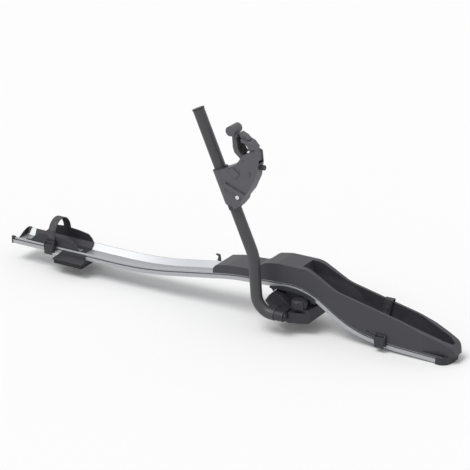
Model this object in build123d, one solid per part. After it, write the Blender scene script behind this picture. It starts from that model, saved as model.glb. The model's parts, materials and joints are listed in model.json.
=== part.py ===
from build123d import *
import os
from math import atan2, cos, degrees, hypot, pi, radians, sin, tan

os.makedirs("parts", exist_ok=True)

# Roof mounted bike carrier. +X runs to the front of the rail, +Z is up.
# The origin is the middle of the front seat, on the top plane of the roof bars.

# driving sizes
bar_spacing = 737.0
rear_overhang = 203.0
front_reach = 440.0
rail_width = 85.0
rail_height = 20.0
arm_diameter = 32.0
arm_offset = 100.0
arm_axis_height = 26.0
saddle_length = 141.0
saddle_rear_x = -81.0
seat_gap = 0.3
running_gap = 0.05
cut_overrun = 30.0

# rail: outline of its underside seen from the side, then its section
rear_reach = bar_spacing + rear_overhang
rail_rear_x = -rear_reach
rear_rail_z = 21.0
rail_rise = 63.0
rear_rail_shares = ((-1, 0), (-0.523, 0), (-0.213, 0.79))
front_rail_shares = ((0.053, 1), (0.379, -0.42), (0.649, -0.72), (1, -0.79))
rail_bend_radii = (1200.0, 600.0, 170.0, 290.0, 500.0)
bend_share = 0.49
rail_wall = 2.2
rail_floor_height = 4.0
rail_floor_half = 25.0
rail_rim_width = 3.0
groove_low = 11.0
groove_height = 3.5
groove_depth = 6.0

rail_half = rail_width / 2
rim_inner_half = rail_half - rail_rim_width
rail_run = rear_reach + front_reach
saddle_front_x = saddle_rear_x + saddle_length


def fitting_radii(corners, radii, closed):
    # each corner's radius, no larger than the shorter of its two sides has room for
    count = len(corners)
    fitted = []
    for i in range(count):
        if not closed and i in (0, count - 1):
            continue
        into = corners[i] - corners[i - 1]
        out = corners[(i + 1) % count] - corners[i]
        half_turn = radians(into.get_angle(out)) / 2
        radius = radii[i if closed else i - 1]
        room = bend_share * min(into.length, out.length)
        steepness = tan(half_turn)
        fitted.append(min(radius, room / steepness) if steepness > 0 else radius)
    return fitted


def rail_corners(front_extra=0.0):
    points = [(rear_reach * a, rear_rail_z + rail_rise * b) for a, b in rear_rail_shares]
    points += [(front_reach * a, rear_rail_z + rail_rise * b) for a, b in front_rail_shares]
    (x0, z0), (x1, z1) = points[-2], points[-1]
    stretch = 1 + front_extra / hypot(x1 - x0, z1 - z0)
    points[-1] = (x0 + (x1 - x0) * stretch, z0 + (z1 - z0) * stretch)
    return points


def rail_line(front_extra=0.0):
    corners = [Vector(x, 0, z) for x, z in rail_corners(front_extra)]
    return FilletPolyline(*corners, radius=fitting_radii(corners, rail_bend_radii, False))


def along_rail(section, front_extra=0.0, holes=()):
    # a section of (y, height over the rail's underside) carried along the rail
    def ring(points):
        return Wire.make_polygon([(rail_rear_x, y, rear_rail_z + z) for y, z in points], close=True)
    face = Face(ring(section), [ring(hole) for hole in holes])
    return sweep(face, path=rail_line(front_extra))


def rail_underside(x):
    # height of the rail's underside at one place, read from its line
    probe = Edge.make_line((x, 0, -rail_run), (x, 0, rail_run))
    hits = [edge.intersect(probe) for edge in rail_line(rail_height * 5).edges()]
    heights = []
    for hit in hits:
        if hit is None:
            continue
        for vertex in ([hit] if isinstance(hit, (Vector, Vertex)) else hit):
            heights.append(Vector(vertex).Z if isinstance(vertex, Vector) else vertex.center().Z)
    return max(heights)


def side_prism(points, y_from, y_to):
    wire = Wire.make_polygon([(x, y_from, z) for x, z in points], close=True)
    return Solid.extrude(Face(wire), Vector(0, y_to - y_from, 0))


def plan_prism(points, z_from, z_to, radius=None):
    if radius is None:
        wire = Wire.make_polygon([(x, y, z_from) for x, y in points], close=True)
    else:
        outline = FilletPolyline(*[(x, y, z_from) for x, y in points], radius=radius, close=True)
        wire = Wire(outline.edges())
    return Solid.extrude(Face(wire), Vector(0, 0, z_to - z_from))


def front_prism(points, x_from, x_to):
    wire = Wire.make_polygon([(x_from, y, z) for y, z in points], close=True)
    return Solid.extrude(Face(wire), Vector(x_to - x_from, 0, 0))


def block(x_from, x_to, y_from, y_to, z_from, z_to):
    return Solid.make_box(x_to - x_from, y_to - y_from, z_to - z_from,
                          Plane(origin=(x_from, y_from, z_from)))


def rod(radius, start, direction, length):
    return Solid.make_cylinder(radius, length, Plane(origin=start, z_dir=direction))


def dome_rod(radius, start, direction, length, rounding):
    body = rod(radius, start, direction, length)
    rims = [edge for edge in body.edges() if edge.geom_type == GeomType.CIRCLE]
    far = max(rims, key=lambda edge: (edge.center() - Vector(start)).dot(Vector(direction)))
    return body.fillet(rounding, [far])


def hexagon_rod(across_flats, start, direction, length):
    plane = Plane(origin=start, z_dir=direction)
    face = plane * RegularPolygon(across_flats / 2, 6, major_radius=False)
    return extrude(face, amount=length, dir=direction)


def mirrored(points):
    # a half outline on +Y, closed by its mirror image
    return list(points) + [(-y, z) for y, z in reversed(points) if y != 0]


def save(shape, name):
    solids = shape.solids()
    whole = solids[0] if len(solids) == 1 else Compound(children=list(solids))
    export_step(whole, "parts/" + name + ".step")
    print(name, len(solids), round(sum(s.volume for s in solids), 1))


# rail
groove_top = groove_low + groove_height
rail_outline = mirrored([
    (rail_half, 0), (rail_half, groove_low), (rail_half - groove_depth, groove_low),
    (rail_half - groove_depth, groove_top), (rail_half, groove_top), (rail_half, rail_height),
    (rim_inner_half, rail_height), (rail_floor_half, rail_floor_height)])
slope_run = rim_inner_half - rail_floor_half
slope_rise = rail_height - rail_floor_height
chamber_side = rail_half - groove_depth - rail_wall
chamber_foot = rail_floor_half + rail_wall
chamber_top = rail_wall + (chamber_side - chamber_foot) * slope_rise / slope_run
chamber = [(chamber_foot, rail_wall), (chamber_side, rail_wall), (chamber_side, chamber_top)]
far_chamber = [(-y, z) for y, z in chamber]
rail = along_rail(rail_outline, holes=(chamber, far_chamber))

# rail end caps: a plate with ears over the rims at the rear, a moulded nose at the front
cap_plate = 3.0
cap_ear_length = 8.0
cap_ear_thickness = 1.6
cap_ear_drop_share = 0.9
cap_overlap = 1.2

ear_inner_half = rim_inner_half - slope_run * cap_ear_drop_share
ear_inner_height = rail_height - slope_rise * cap_ear_drop_share
rear_cap_ear = [
    (rail_half + cap_ear_thickness, groove_top), (rail_half, groove_top), (rail_half, rail_height),
    (rim_inner_half, rail_height), (ear_inner_half, ear_inner_height),
    (ear_inner_half, ear_inner_height + cap_ear_thickness * 1.4),
    (rim_inner_half - cap_ear_thickness, rail_height + cap_ear_thickness),
    (rail_half + cap_ear_thickness, rail_height + cap_ear_thickness)]
cap_wall_shares = ((0.7, 1.08), (0.34, 0.84), (0, 0.45), (-0.2, 0.26))
cap_edge = rail_half + cap_overlap
cap_rim = rail_height + cap_ear_thickness
cap_outline = [(cap_edge, -cap_overlap), (cap_edge, cap_rim)]
cap_outline += [(cap_edge * a, rail_height * b) for a, b in cap_wall_shares]
cap_outline += [(-rail_floor_half, rail_floor_height + cap_overlap),
                (-rim_inner_half + cap_ear_thickness, cap_rim),
                (-cap_edge, cap_rim), (-cap_edge, -cap_overlap)]


def at_rear(points):
    return [(y, rear_rail_z + z) for y, z in points]


rear_end_cap = front_prism(at_rear(cap_outline), rail_rear_x - cap_plate, rail_rear_x)
for sign in (1, -1):
    ear = front_prism([(sign * y, z) for y, z in at_rear(rear_cap_ear)],
                      rail_rear_x - cap_plate, rail_rear_x + cap_ear_length)
    rear_end_cap = rear_end_cap + ear

# front wheel pan: side outline, taper, wheel channel, nose in plan
pan_length = 735.0
pan_nose_reach = 33.0
pan_height = 181.0
pan_width = 89.0
pan_half = pan_width / 2
pan_wall = 3.0
pan_taper = 0.012
pan_skirt_drop = 3.4
pan_skirt_gap = 0.3
pan_skirt_end = 1.5
pan_floor_lift = 4.0
channel_rear_share = 0.372
channel_ramp = 30.0
channel_floor_half = 22.0
channel_rim_half = 36.0
channel_rear_half = 27.0
channel_flare = 120.0
channel_end_wall = 18.0
pan_top_shares = ((0, 0.66), (0.012, 0.72), (0.064, 0.765), (0.177, 0.795), (0.221, 0.938),
                  (0.275, 0.98), (0.404, 0.983), (0.52, 0.744), (0.696, 0.59), (0.806, 0.496),
                  (0.945, 0.311), (0.986, 0.235), (0.997, 0.1))
pan_top_radii = (12.0, 60.0, 30.0, 30.0, 80.0, 70.0, 110.0, 200.0, 300.0, 300.0, 30.0, 12.0)
nose_shares = ((0.87, 1), (0.985, 0.62), (1, 0.25))
nose_radii = (90.0, 22.0, 7.0)
channel_nose_shares = ((0.845, 1), (0.97, 0.55), (1, 0.2))
channel_nose_radii = (90.0, 16.0, 4.0)

rail_end_z = rear_rail_z + rail_rise * front_rail_shares[-1][1]
pan_base_z = rail_end_z
pan_front_x = front_reach + pan_nose_reach
pan_rear_x = pan_front_x - pan_length
channel_rear_x = pan_rear_x + pan_length * channel_rear_share
nose_reach = pan_nose_reach + cut_overrun * 2


def pan_side(drop, inset):
    # the pan seen from the side, lowered by a wall and shortened by an inset
    top = [(pan_rear_x + inset + (pan_length - 2 * inset) * a, pan_base_z + pan_height * b - drop)
           for a, b in pan_top_shares]
    corners = top + [(pan_front_x - inset, pan_base_z - cut_overrun * 2),
                     (pan_rear_x + inset, pan_base_z - cut_overrun * 2)]
    radii = (0.0,) + pan_top_radii + (0.0, 0.0)
    return corners, radii


def filleted_side(corners, radii, y_from, y_to):
    # straight sides joined by tangent arcs, each with a radius of its own
    edges = []
    count = len(corners)
    places = [Vector(x, y_from, z) for x, z in corners]
    fitted = fitting_radii(places, radii, True)
    cuts = []
    for i in range(count):
        here = places[i]
        into = (here - places[i - 1]).normalized()
        out = (places[(i + 1) % count] - here).normalized()
        half_turn = radians(into.get_angle(out)) / 2
        reach = fitted[i] * tan(half_turn)
        start = here - into * reach
        end = here + out * reach
        middle = here
        if fitted[i] > 0:
            inward = (out - into).normalized()
            middle = here + inward * (fitted[i] / cos(half_turn) - fitted[i])
        cuts.append((start, middle, end, fitted[i] > 0))
    for i in range(count):
        start, middle, end, bent = cuts[i]
        following = cuts[(i + 1) % count][0]
        if bent:
            edges.append(Edge.make_three_point_arc(start, middle, end))
        edges.append(Edge.make_line(end, following))
    return Solid.extrude(Face(Wire(edges)), Vector(0, y_to - y_from, 0))


def plan_nose(half, front_x, rear_x, shares, radii, length):
    near = [(rear_x, -half)] + [(front_x - length + length * a, -half * b) for a, b in shares]
    corners = near + [(x, -y) for x, y in reversed(near)]
    all_radii = (0.0,) + radii + tuple(reversed(radii)) + (0.0,)
    turned = filleted_side(corners, all_radii, -cut_overrun * 3, cut_overrun * 7)
    return turned.rotate(Axis.X, 90).mirror(Plane.XZ)


pan_tall = pan_height * 1.2
pan_envelope_section = mirrored([(pan_half, rail_height),
                                 (pan_half - pan_taper * pan_tall, rail_height + pan_tall)])
inner_half = pan_half - pan_wall
pan_hollow_section = mirrored([(inner_half, 0), (inner_half, rail_height),
                               (inner_half - pan_taper * pan_tall, rail_height + pan_tall)])
channel_depth = rail_height * 2
channel_floor = rail_height + pan_floor_lift
channel_spread = (channel_rim_half - channel_floor_half) / channel_depth


def channel_section(skin):
    low = channel_floor - skin
    return mirrored([(channel_floor_half + skin, low),
                     (channel_floor_half + skin + channel_spread * channel_depth, low + channel_depth),
                     (channel_floor_half + skin + channel_spread * channel_depth, low + pan_tall)])


def channel_shape(skin):
    body = along_rail(channel_section(skin), nose_reach)
    back = channel_rear_x - skin
    side = [(back, pan_height * 2), (back, pan_base_z + pan_height * 0.93 - skin),
            (back + channel_ramp, pan_base_z + pan_height * 0.55 - skin),
            (back + channel_ramp, -pan_height), (pan_front_x, -pan_height), (pan_front_x, pan_height * 2)]
    half = channel_rim_half + skin
    front = pan_front_x - channel_end_wall + skin
    plan = plan_nose(half, front, back - cut_overrun, channel_nose_shares, channel_nose_radii, pan_length)
    narrow = channel_rear_half + skin
    flared = [(back - cut_overrun, -narrow), (back, -narrow), (back + channel_flare, -half), (pan_front_x, -half)]
    flare = plan_prism(flared + [(x, -y) for x, y in reversed(flared)], -pan_height, pan_height * 2)
    return plan & flare & side_prism(side, -pan_width, pan_width) & body


side_corners, side_radii = pan_side(0.0, 0.0)
hollow_corners, hollow_radii = pan_side(pan_wall, pan_wall)
pan_outer_side = filleted_side(side_corners, side_radii, -pan_half, pan_half)
pan_inner_side = filleted_side(hollow_corners, hollow_radii, -pan_half, pan_half)
pan_plan = plan_nose(pan_half, pan_front_x, pan_rear_x - cut_overrun, nose_shares, nose_radii, pan_length)
pan_block = along_rail(pan_envelope_section, nose_reach) & pan_outer_side & pan_plan
pan_hollow = along_rail(pan_hollow_section, nose_reach) & pan_inner_side
pan_hollow = pan_hollow & plan_nose(inner_half, pan_front_x - pan_wall, pan_rear_x - cut_overrun,
                                    nose_shares, nose_radii, pan_length)
front_wheel_pan = pan_block - (pan_hollow - channel_shape(pan_wall)) - channel_shape(0.0)

# thin skirts of the pan that reach down over the rail's sides
skirt_in = rail_half + pan_skirt_gap
skirt_low = rail_height - pan_skirt_drop
skirt_top = rail_height + pan_wall
for sign in (1, -1):
    skirt_section = [(sign * skirt_in, skirt_low), (sign * pan_half, skirt_low),
                     (sign * pan_half, rail_height), (sign * (pan_half - pan_taper * pan_wall), skirt_top),
                     (sign * skirt_in, skirt_top)]
    pan_skirt = along_rail(skirt_section, -pan_skirt_end) & pan_outer_side
    front_wheel_pan = front_wheel_pan + pan_skirt


# straps and ratchet buckles of the two wheels
strap_width = 26.0
strap_thickness = 2.6
front_strap_share = 0.51
buckle_shift_share = 1.42
strap_slot_gap = 0.5
buckle_width = 32.0
buckle_depth = 9.0
buckle_height = 34.0
lever_thickness = 4.0
buckle_pin_radius = 1.8

front_strap_x = front_reach * front_strap_share


def pan_top(x):
    # height of the pan's rim at one place, between the corners of its outline
    share = (x - pan_rear_x) / pan_length
    for (a, b), (c, d) in zip(pan_top_shares, pan_top_shares[1:]):
        if a <= share <= c:
            return pan_base_z + pan_height * (b + (d - b) * (share - a) / (c - a))
    return pan_base_z


def tilted(shape, x):
    # turned about a crosswise line so that it lies along the rail at one place
    slope = (rail_underside(x + rail_height) - rail_underside(x - rail_height)) / (2 * rail_height)
    return shape.rotate(Axis((x, 0, rail_underside(x)), (0, 1, 0)), -degrees(atan2(slope, 1)))


rim_z = rail_underside(front_strap_x) + rail_height
floor_z = rim_z + pan_floor_lift
pan_rim_z = pan_top(front_strap_x)


def pan_outer_half(z):
    return pan_half - pan_taper * (z - rim_z)


def channel_half(z):
    return channel_floor_half + channel_spread * (z - floor_z)


strap_lift = 3.2
strap_floor_z = floor_z + strap_lift
strap_top_z = pan_rim_z + seat_gap * 4
strap_wall_gap = 0.8
near_end_y = -pan_half
far_low = channel_half(strap_floor_z) - strap_wall_gap
far_high = channel_rim_half - strap_wall_gap
far_out = pan_outer_half(pan_rim_z) + seat_gap * 3
strap_hook_drop = 10.0
strap_line = [(near_end_y, strap_floor_z), (far_low, strap_floor_z),
              (far_high, floor_z + channel_depth), (far_high, strap_top_z),
              (far_out, strap_top_z), (far_out, strap_top_z - strap_hook_drop)]


def band(points, thickness, x_from, x_to):
    # a flat band of even thickness along a bent line of (y, z), its body on the left of the line
    inner = []
    outer = []
    for i, (y, z) in enumerate(points):
        before = points[max(i - 1, 0)]
        after = points[min(i + 1, len(points) - 1)]
        into = Vector(y - before[0], z - before[1]) if i > 0 else None
        out = Vector(after[0] - y, after[1] - z) if i < len(points) - 1 else None
        into = into.normalized() if into else out.normalized()
        out = out.normalized() if out else into
        bisector = Vector(-into.Y - out.Y, into.X + out.X).normalized()
        reach = thickness / bisector.dot(Vector(-into.Y, into.X))
        inner.append((y, z))
        outer.append((y + bisector.X * reach, z + bisector.Y * reach))
    return front_prism(inner + list(reversed(outer)), x_from, x_to)


front_strap = tilted(band(strap_line, strap_thickness, front_strap_x - strap_width / 2,
                          front_strap_x + strap_width / 2), front_strap_x)
slot_half = strap_width / 2 + strap_slot_gap
strap_slot = block(front_strap_x - slot_half, front_strap_x + slot_half, near_end_y - cut_overrun, 0,
                   strap_floor_z - strap_slot_gap, strap_floor_z + strap_thickness + strap_slot_gap)
front_wheel_pan = front_wheel_pan - tilted(strap_slot, front_strap_x)


def buckle(x, y_wall, side, z_low):
    # a bracket with two cheeks against an upright wall, a cam lever between them and its pin
    half = buckle_width / 2
    cheek = (buckle_width - strap_width) / 2 - strap_slot_gap
    plate = buckle_depth * 0.3
    outer_y = y_wall + side * buckle_depth
    plate_y = y_wall + side * plate
    frame_solid = block(x - half, x + half, min(y_wall, plate_y), max(y_wall, plate_y),
                        z_low, z_low + buckle_height)
    for sign in (1, -1):
        x_edge = x + sign * half
        x_inner = x_edge - sign * cheek
        profile = [(plate_y, z_low), (outer_y, z_low + buckle_height * 0.2),
                   (outer_y, z_low + buckle_height * 0.75), (plate_y, z_low + buckle_height)]
        frame_solid = frame_solid + front_prism(profile, min(x_edge, x_inner), max(x_edge, x_inner))
    pin_y = y_wall + side * (plate + lever_thickness / 2 + seat_gap * 4)
    pin_z = z_low + buckle_height * 0.68
    pin = rod(buckle_pin_radius, (x - half + cheek * 0.2, pin_y, pin_z), (1, 0, 0), buckle_width - cheek * 0.4)
    frame_solid = frame_solid - pin
    lever_half = half - cheek - seat_gap
    knuckle = rod(lever_thickness / 2 + seat_gap, (x - lever_half, pin_y, pin_z), (1, 0, 0), lever_half * 2)
    blade_in = pin_y - side * (lever_thickness / 2 - seat_gap)
    blade_out = pin_y + side * (lever_thickness / 2)
    tip_out = outer_y + side * lever_thickness * 0.9
    tip_in = outer_y + side * lever_thickness * 0.2
    blade = front_prism([(blade_in, pin_z), (blade_out, pin_z), (tip_out, z_low - lever_thickness * 0.5),
                         (tip_in, z_low - lever_thickness)], x - lever_half, x + lever_half)
    lever = knuckle + blade - rod(buckle_pin_radius + running_gap, (x - half, pin_y, pin_z), (1, 0, 0), buckle_width)
    return frame_solid, lever, pin, (pin_y, pin_z)


front_buckle_z = strap_floor_z + strap_thickness - buckle_height * 0.93
front_buckle_y = -max(pan_half, rail_half) - seat_gap
front_buckle_x = front_strap_x + strap_width * buckle_shift_share
front_buckle, front_lever, front_pin, front_pin_place = buckle(front_buckle_x, front_buckle_y, -1,
                                                               front_buckle_z)

# pan tab: the small hooked catch behind the pan's rear edge, on the far rim of the rail
tab_setback = 33.0
tab_length = 14.0
tab_height = 19.0
tab_thickness = 4.0
tab_x = pan_rear_x - tab_setback
tab_rim_z = rail_underside(tab_x + tab_length / 2) + rail_height + seat_gap
pan_tab = side_prism([(tab_x - tab_length / 2, tab_rim_z), (tab_x + tab_length / 2, tab_rim_z),
                      (tab_x + tab_length * 0.3, tab_rim_z + tab_height),
                      (tab_x - tab_length * 0.65, tab_rim_z + tab_height * 1.02),
                      (tab_x - tab_length * 0.6, tab_rim_z + tab_height * 0.8),
                      (tab_x - tab_length * 0.1, tab_rim_z + tab_height * 0.72),
                      (tab_x - tab_length * 0.2, tab_rim_z + tab_thickness)],
                     rail_half - tab_thickness * 0.8, rail_half + tab_thickness * 0.2)

# pan screws: pan heads on the channel floor, shanks down into the rail's floor
screw_x_shares = (0.19, 0.915)
screw_head_radius = 6.0
screw_head_height = 2.6
screw_shank_radius = 2.5
pan_screw_solids = []
for share in screw_x_shares:
    x = saddle_front_x + (front_reach - saddle_front_x) * share
    base_z = rail_underside(x)
    head_z = base_z + channel_floor
    screw_hole = rod(screw_shank_radius + running_gap * 2, (x, 0, base_z - cut_overrun), (0, 0, 1), cut_overrun * 3)
    front_wheel_pan = front_wheel_pan - screw_hole
    rail = rail - screw_hole
    head = rod(screw_head_radius, (x, 0, head_z + seat_gap * 2), (0, 0, 1), screw_head_height)
    shank = rod(screw_shank_radius, (x, 0, base_z - rail_wall), (0, 0, 1),
                channel_floor + rail_wall + seat_gap * 2)
    head_seat = rod(screw_head_radius + seat_gap, (x, 0, head_z + seat_gap * 2), (0, 0, 1), screw_head_height * 2)
    front_wheel_pan = front_wheel_pan - head_seat
    pan_screw_solids.append(head + shank)
pan_screws = Compound(children=[s.solids()[0] for s in pan_screw_solids])

# front end cap: a nose round the rail's end, its plug inside the channel
front_cap_back = 17.0
front_cap_front = 20.0
front_cap_wall = 2.4
front_cap_shares = ((0.47, 1), (0.8, 0.8), (0.96, 0.4), (1, 0.14))
front_cap_radii = (12.0, 9.0, 4.0, 2.0)
rail_end = Vector(front_reach, 0, rail_end_z)
corner_a, corner_b = rail_corners()[-2:]
end_slope = Vector(corner_b[0] - corner_a[0], 0, corner_b[1] - corner_a[1]).normalized()
end_up = Vector(-end_slope.Z, 0, end_slope.X)


def end_point(forward, y, up):
    return rail_end + end_slope * forward + Vector(0, y, 0) + end_up * up


def end_prism(section, back, front):
    wire = Wire.make_polygon([end_point(back, y, up) for y, up in section], close=True)
    return Solid.extrude(Face(wire), end_slope * (front - back))


cap_half = rail_half + front_cap_wall
cap_sleeve = end_prism([(-cap_half, -front_cap_wall), (cap_half, -front_cap_wall), (cap_half, groove_top),
                        (rail_half, groove_top), (rail_half, 0), (-rail_half, 0), (-rail_half, groove_top),
                        (-cap_half, groove_top)], -front_cap_back, 0)
cap_nose_block = end_prism([(-cap_half, -front_cap_wall), (cap_half, -front_cap_wall),
                            (cap_half, rail_height - seat_gap), (-cap_half, rail_height - seat_gap)],
                           0, front_cap_front)
cap_plan = plan_nose(cap_half, rail_end.X + front_cap_front, rail_end.X - front_cap_back * 2,
                     front_cap_shares, front_cap_radii, front_cap_back + front_cap_front)
front_end_cap = (cap_sleeve + cap_nose_block) & cap_plan

# rear wheel tray: a trough in the rail's channel with high cheeks
tray_setback = 26.0
tray_length = 202.0
tray_skew = 21.0
tray_wall = 3.0
tray_height = 52.0
tray_top_half = 39.0
tray_side_shares = ((0, 0.42), (0.167, 0.42), (0.339, 0.94), (0.502, 1), (0.746, 0.93), (0.909, 0.83),
                    (0.967, 0.62), (1, 0.36), (1, -0.1), (0, -0.1))
tray_window_length = 52.0
tray_window_width = 26.0
tray_front_gap = 14.0

tray_rear_x = rail_rear_x + tray_setback
slope_angle = atan2(slope_rise, slope_run)
tray_gap = 0.3
slide_y = tray_gap / sin(slope_angle)
tray_section_outer = mirrored([
    (rail_floor_half - slide_y * 0.6, rail_floor_height + tray_gap),
    (rim_inner_half - slide_y, rail_height + tray_gap * 2),
    (tray_top_half, rail_height * 1.6), (tray_top_half, tray_height * 1.2)])
tray_inner = mirrored([
    (rail_floor_half - slide_y * 0.6 - tray_wall * 0.5, rail_floor_height + tray_gap + tray_wall),
    (rim_inner_half - slide_y - tray_wall * 1.2, rail_height + tray_gap * 2 + tray_wall * 0.6),
    (tray_top_half - tray_wall, rail_height * 1.6 + tray_wall * 0.4),
    (tray_top_half - tray_wall, tray_height * 2)])
tray_front_x = tray_rear_x + tray_length
tray_body = front_prism(at_rear(tray_section_outer), tray_rear_x, tray_front_x)
tray_hollow = front_prism(at_rear(tray_inner), tray_rear_x - cut_overrun, tray_front_x + cut_overrun)
tray_side = side_prism([(tray_rear_x + tray_length * a, rear_rail_z + tray_height * b)
                        for a, b in tray_side_shares], -tray_top_half * 1.5, tray_top_half * 1.5)
tray_near_y = -tray_top_half * 1.1
tray_skew_cut = plan_prism([(tray_rear_x - cut_overrun, -tray_near_y), (tray_rear_x - cut_overrun, tray_near_y),
                            (tray_rear_x + tray_skew, tray_near_y), (tray_rear_x, -tray_near_y)],
                           0, tray_height * 3)
rear_wheel_tray = ((tray_body - tray_hollow) & tray_side) - tray_skew_cut
window_front = tray_front_x - tray_front_gap
rear_wheel_tray = rear_wheel_tray - block(window_front - tray_window_length, window_front,
                                          -tray_window_width / 2, tray_window_width / 2, 0, rail_height * 2)

# rear strap: a hoop over the wheel from cheek to cheek
strap_setback = 109.0
rear_strap_width = 24.0
hoop_base_z = 45.0
hoop_spring_z = 72.0
rear_strap_x = tray_rear_x + strap_setback
hoop_outer = tray_top_half + seat_gap + strap_thickness


def hoop(radius, low):
    ring = [Edge.make_line((rear_strap_x, -radius, low), (rear_strap_x, -radius, hoop_spring_z)),
            Edge.make_three_point_arc((rear_strap_x, -radius, hoop_spring_z),
                                      (rear_strap_x, 0, hoop_spring_z + radius),
                                      (rear_strap_x, radius, hoop_spring_z)),
            Edge.make_line((rear_strap_x, radius, hoop_spring_z), (rear_strap_x, radius, low)),
            Edge.make_line((rear_strap_x, radius, low), (rear_strap_x, -radius, low))]
    solid = Solid.extrude(Face(Wire(ring)), Vector(rear_strap_width, 0, 0))
    return solid.translate(Vector(-rear_strap_width / 2, 0, 0))


rear_strap = hoop(hoop_outer, hoop_base_z) - hoop(hoop_outer - strap_thickness, hoop_base_z - cut_overrun)
foot_flange_thickness = 3.4
foot_gap = 0.1
buckle_run_gap = 1.5
flange_in = rail_half + foot_gap * 2
flange_out = flange_in + foot_flange_thickness
rear_buckle_z = rear_rail_z + rail_height * 0.1
rear_buckle_y = -flange_out - buckle_run_gap
rear_buckle, rear_lever, rear_pin, rear_pin_place = buckle(rear_strap_x, rear_buckle_y, -1, rear_buckle_z)
arm_low = rear_rail_z + rail_height + seat_gap * 2
rear_buckle = rear_buckle + block(rear_strap_x - buckle_width / 2, rear_strap_x + buckle_width / 2,
                                  rear_buckle_y, -hoop_outer, arm_low, rear_buckle_z + buckle_height)

# rear foot: a moulded saddle on the roof bar, a rubber pad under it, flanges beside the rail
foot_length = 101.0
foot_half_width = 65.0
foot_pad_height = 10.0
foot_edge_height = 3.0
foot_flange_height = 14.0
foot_bolt_radius = 4.0
foot_nut_flats = 13.0
foot_nut_height = 6.5
foot_bolt_head = 20.0
foot_bolt_head_height = 5.0
foot_bolt_drop = 16.0
foot_round = 6.0
foot_slant = 22.0

foot_x = -bar_spacing
foot_top = rear_rail_z - foot_gap
foot_section = mirrored([
    (foot_half_width, foot_pad_height), (foot_half_width, foot_pad_height + foot_edge_height),
    (flange_out, rear_rail_z), (flange_out, rear_rail_z + foot_flange_height),
    (flange_in, rear_rail_z + foot_flange_height), (flange_in, foot_top)])
rear_foot = front_prism(foot_section, foot_x - foot_length / 2, foot_x + foot_length / 2)
foot_bolt_hole = rod(foot_bolt_radius + running_gap * 4, (foot_x, 0, -cut_overrun), (0, 0, 1), cut_overrun * 4)
nut_pocket_floor = foot_top - foot_nut_height - seat_gap
foot_left = foot_x - foot_length / 2
foot_shoulder = foot_pad_height + foot_edge_height
foot_crest = rear_rail_z + foot_flange_height
foot_slant_cut = side_prism([(foot_left - cut_overrun, foot_shoulder), (foot_left, foot_shoulder),
                             (foot_left + foot_slant, foot_crest), (foot_left + foot_slant, foot_crest * 2),
                             (foot_left - cut_overrun, foot_crest * 2)], -rail_width, rail_width)
rear_foot = rear_foot - foot_slant_cut
rear_foot = rear_foot - foot_bolt_hole
rear_foot = rear_foot - rod(foot_nut_flats * 0.62, (foot_x, 0, nut_pocket_floor), (0, 0, 1), cut_overrun)
pad_shrink = 2.0
rear_foot_pad = plan_prism([(foot_x - foot_length / 2 + pad_shrink, -foot_half_width + pad_shrink),
                            (foot_x + foot_length / 2 - pad_shrink, -foot_half_width + pad_shrink),
                            (foot_x + foot_length / 2 - pad_shrink, foot_half_width - pad_shrink),
                            (foot_x - foot_length / 2 + pad_shrink, foot_half_width - pad_shrink)],
                           0, foot_pad_height, foot_round) - foot_bolt_hole
rear_foot_nut = hexagon_rod(foot_nut_flats, (foot_x, 0, nut_pocket_floor), (0, 0, 1), foot_nut_height)
rear_foot_nut = rear_foot_nut - rod(foot_bolt_radius, (foot_x, 0, 0), (0, 0, 1), cut_overrun)
rear_t_bolt = rod(foot_bolt_radius, (foot_x, 0, -foot_bolt_drop), (0, 0, 1),
                  foot_bolt_drop + nut_pocket_floor + foot_nut_height)
rear_t_bolt = rear_t_bolt + block(foot_x - foot_bolt_head / 2, foot_x + foot_bolt_head / 2,
                                  -foot_bolt_head / 2, foot_bolt_head / 2,
                                  -foot_bolt_drop, -foot_bolt_drop + foot_bolt_head_height)

# front base: a moulded housing on the roof bar under the rail
base_pad_height = 5.0
base_near = 61.0
base_far = 58.0
base_left = 86.0
base_right = 52.0
base_tall = 71.0
base_wall = 3.5
base_side_shares = ((-0.593, 0), (-1, 0.545), (-0.86, 0.818), (-0.72, 1), (-0.4, 0.9), (-0.09, 0.56),
                    (0.605, 0.56), (0.64, 0.42), (0.605, 0))
bulge_reach = 80.0
bulge_top_share = 0.44
bulge_low = 1.0
base_rear_share = 0.593
knob_x = 19.0
knob_y = -56.0
knob_radius = 22.5
knob_low = 42.0
knob_height = 25.0
knob_dome = 9.0
knob_flutes = 8
flute_radius = 5.5
t_bolt_radius = 4.0
t_bolt_head = 20.0
t_bolt_head_height = 5.0
t_bolt_lift = 0.5
saddle_thickness = 5.0
saddle_spike = 12.0
saddle_cheek_height = 6.5
saddle_cheek_thickness = 2.5
saddle_cheek_ramp = 40.0
pedestal_half = 34.0

base_floor_z = base_pad_height

side_points = [(base_left * a, base_floor_z + (base_tall - base_floor_z) * b) for a, b in base_side_shares]
bulge_points = [(-base_left * base_rear_share, -base_near), (-base_left * 0.01, -bulge_reach),
                (base_left * 0.44, -base_near - base_wall), (base_right, -base_near * 0.9),
                (base_right, -base_near * 0.5), (-base_left * base_rear_share, -base_near * 0.5)]
housing = side_prism(side_points, -base_near, base_far)
housing = housing + plan_prism(bulge_points, base_floor_z, base_tall * bulge_top_share)
pad_edge = 5.0
skirt = plan_prism(bulge_points, bulge_low, base_floor_z)
skirt = skirt - block(-base_left, base_right, -base_near + pad_edge - seat_gap * 2, base_far, 0, base_floor_z)
housing = housing + skirt
bore_y = -arm_offset
shaft_radius = 9.0
boss_wall = 5.5
boss_radius = shaft_radius + boss_wall
boss_rear_x = -29.5
boss_length = 24.0
boss_front_x = boss_rear_x + boss_length
boss = rod(boss_radius, (boss_rear_x, bore_y, arm_axis_height), (1, 0, 0), boss_length)
boss_web = block(boss_rear_x, boss_front_x, bore_y, -base_near + base_wall,
                 arm_axis_height - boss_radius * 0.95, arm_axis_height + boss_radius * 0.8)
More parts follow.
